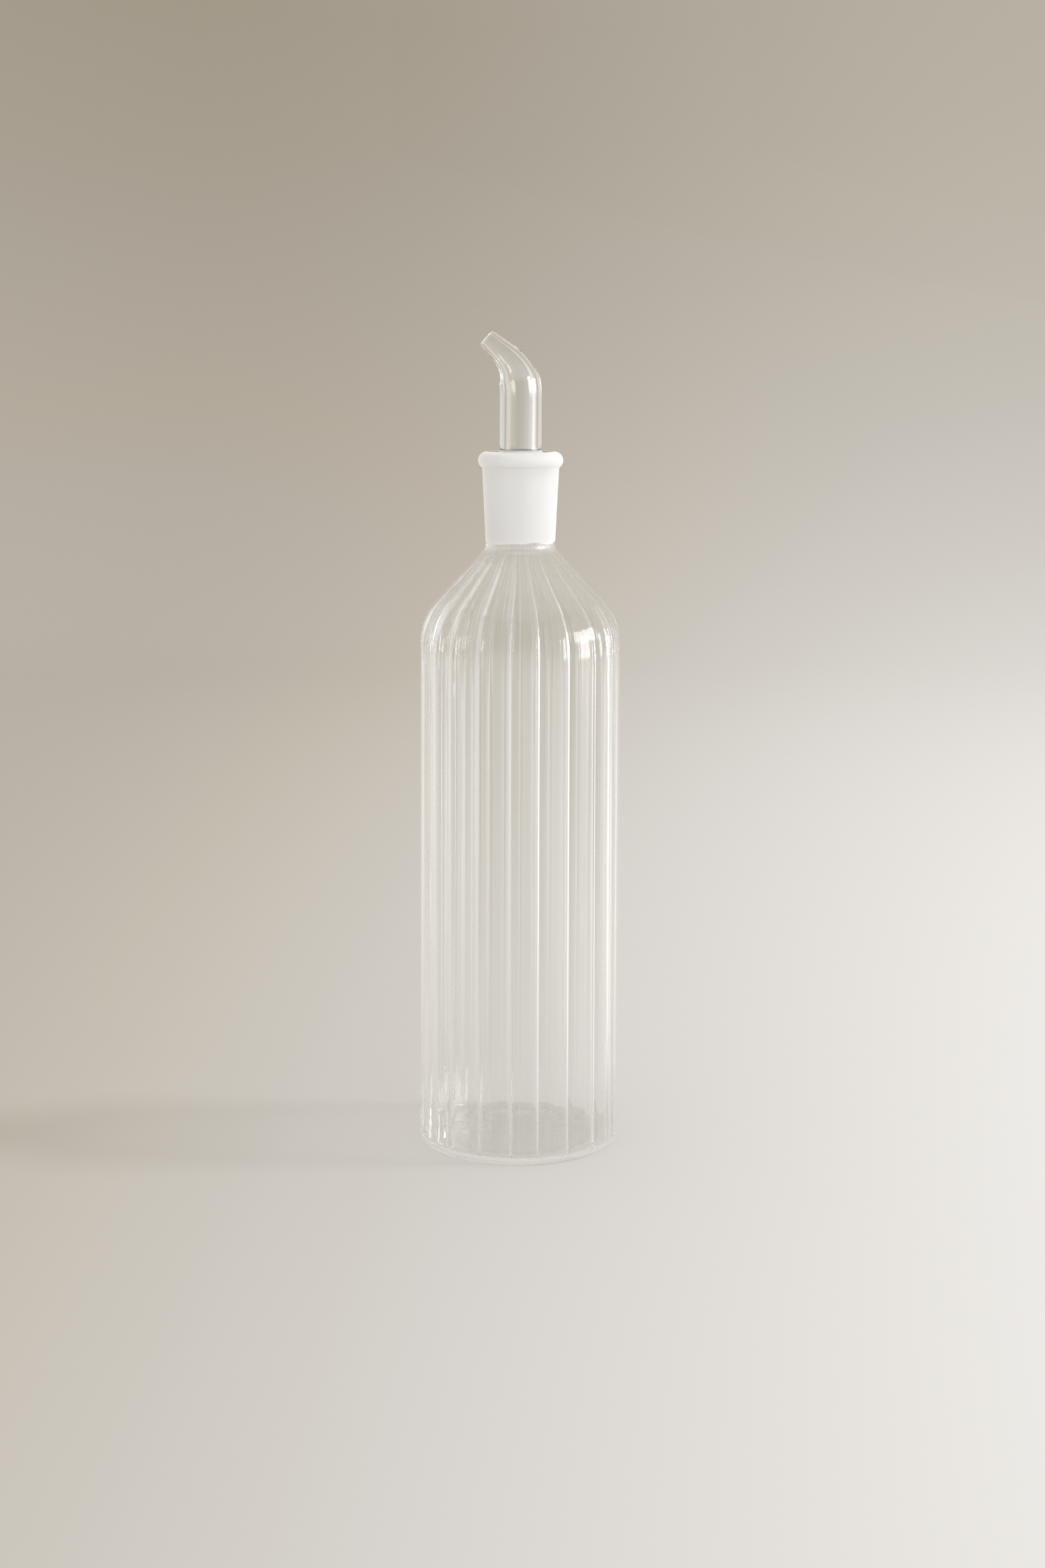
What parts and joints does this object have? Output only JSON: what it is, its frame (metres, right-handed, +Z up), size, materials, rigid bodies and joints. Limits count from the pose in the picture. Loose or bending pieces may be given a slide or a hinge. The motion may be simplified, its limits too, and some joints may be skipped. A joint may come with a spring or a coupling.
{
  "type": "glass cruet",
  "caption": "Tall round glass oil cruet with a ribbed body, a sloping shoulder, a ground neck with a rolled rim, and a lift-out pourer with a bent, tapered spout.",
  "frame": {"origin": "centre of the base, on the plane the bottle rests on", "axes": "+Z up along the bottle's axis, -X is the way the spout points, -Y is the side the picture shows"},
  "size_m": [0.06, 0.06, 0.2449],
  "materials": {
    "body_glass": "clear, glossy",
    "ground_neck_glass": "ground white inside, glossy outside",
    "ground_cone_glass": "ground white outside",
    "spout_glass": "clear, glossy"
  },
  "bodies": {
    "bottle": {"ribbed_body": "body_glass", "neck_socket": "ground_neck_glass"},
    "pourer": {"pourer_cone": "ground_cone_glass", "spout_tube": "spout_glass"}
  },
  "joints": [
    {"name": "pourer_lift", "type": "slide", "parent": "bottle", "child": "pourer", "axis": [0, 0, 1], "range_m": [0, 0.04]}
  ]
}
